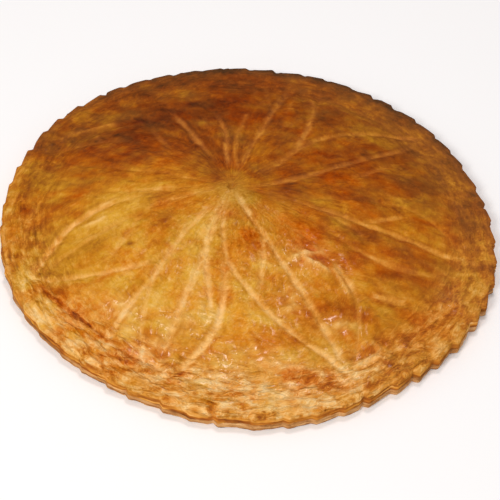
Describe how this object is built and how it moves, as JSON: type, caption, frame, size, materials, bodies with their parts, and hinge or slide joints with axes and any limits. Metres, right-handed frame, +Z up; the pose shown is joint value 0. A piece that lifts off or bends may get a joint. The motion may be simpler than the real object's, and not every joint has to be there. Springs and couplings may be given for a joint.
{
  "type": "apple galette",
  "caption": "Whole round puff pastry apple galette with a low peaked lid scored in a leaf rosette, a flat rim and a nicked flaky edge.",
  "frame": {"origin": "middle of the flat underside", "axes": "+Z up through the lid, -Y towards the side that faces the viewer"},
  "size_m": [0.2596, 0.2608, 0.034],
  "materials": {
    "baked_pastry": "baked puff pastry, golden brown and egg-washed, satin on the lid and dry at the edge"
  },
  "bodies": {
    "root": {"galette": "baked_pastry"}
  },
  "joints": []
}
